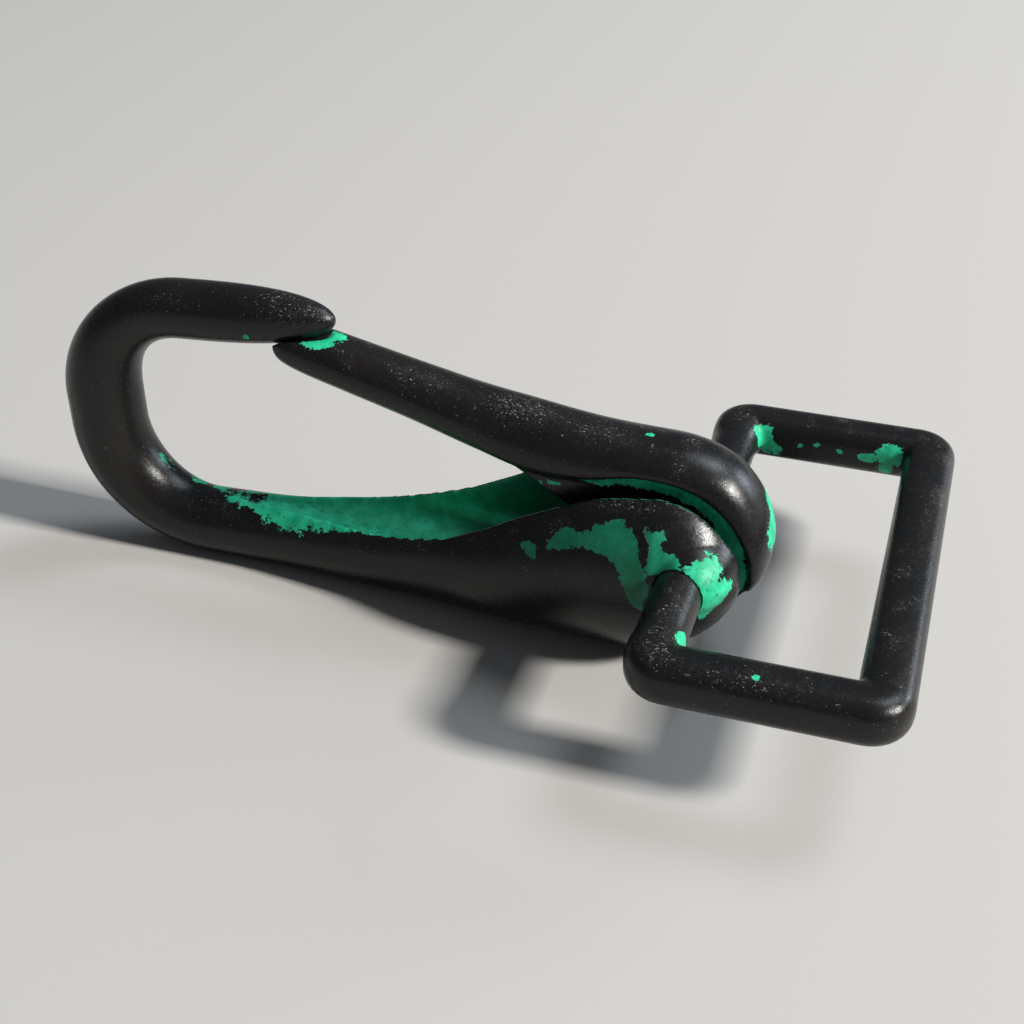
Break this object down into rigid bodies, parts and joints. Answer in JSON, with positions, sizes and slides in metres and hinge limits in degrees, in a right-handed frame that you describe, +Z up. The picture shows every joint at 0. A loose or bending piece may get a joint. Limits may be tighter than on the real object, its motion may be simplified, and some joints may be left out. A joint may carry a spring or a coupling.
{
  "type": "snap hook",
  "caption": "Cast snap hook with a trough-backed J hook, a sprung domed gate and a square sling ring for webbing that pivots on its own inturned ends; worn black over green paint.",
  "frame": {"origin": "on the table under the hook's flat foot line, midway along the overall length and on the hook's middle plane", "axes": "+X along the hook from the bend towards the sling ring, +Y along the pivot pin, +Z up, out of the table"},
  "size_m": [0.0812, 0.0428, 0.0287],
  "materials": {
    "hook_paint": "worn satin black over green",
    "gate_paint": "worn satin black over green",
    "ring_paint": "worn satin black over green",
    "spring_steel": "drawn wire"
  },
  "bodies": {
    "hook": {"hook_body": "hook_paint", "gate_spring": "spring_steel"},
    "gate": {"gate": "gate_paint"},
    "ring": {"sling_ring": "ring_paint"}
  },
  "joints": [
    {"name": "gate_hinge", "type": "hinge", "parent": "hook", "child": "gate", "pos_m": [0.02041, 0, 0.011], "axis": [0, -1, 0], "range_deg": [0, 22], "stiffness_Nm_per_rad": 0.12, "springref_deg": -45.84, "deforming": ["gate_spring"]},
    {"name": "ring_hinge", "type": "hinge", "parent": "hook", "child": "ring", "pos_m": [0.02041, 0, 0.011], "axis": [0, -1, 0], "range_deg": [-128, 130]}
  ]
}
